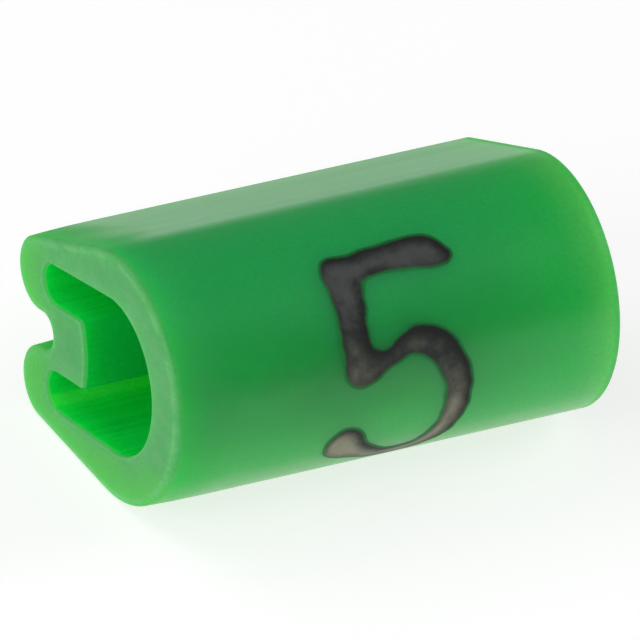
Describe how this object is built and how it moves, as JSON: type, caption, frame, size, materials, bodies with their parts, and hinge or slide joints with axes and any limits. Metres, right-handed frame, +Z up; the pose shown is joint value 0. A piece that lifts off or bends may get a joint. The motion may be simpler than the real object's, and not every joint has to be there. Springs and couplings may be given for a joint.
{
  "type": "cable marker",
  "caption": "Short soft-plastic sleeve that slides onto a wire to identify it, with a round print face and a folded-in tongue that springs against the wire.",
  "frame": {"origin": "under the middle of the bounding box, on the surface the sleeve lies on", "axes": "+X along the wire, towards the right-hand end when the numeral is read; the print face looks to -Y and a little upwards; +Z up"},
  "size_m": [0.006, 0.004, 0.0031],
  "materials": {
    "sleeve": "soft green PVC, satin, drawn along its length, with paler cut ends",
    "ink": "black hot-stamped numeral, satin"
  },
  "bodies": {
    "root": {"marker_sleeve": "sleeve"}
  },
  "joints": []
}
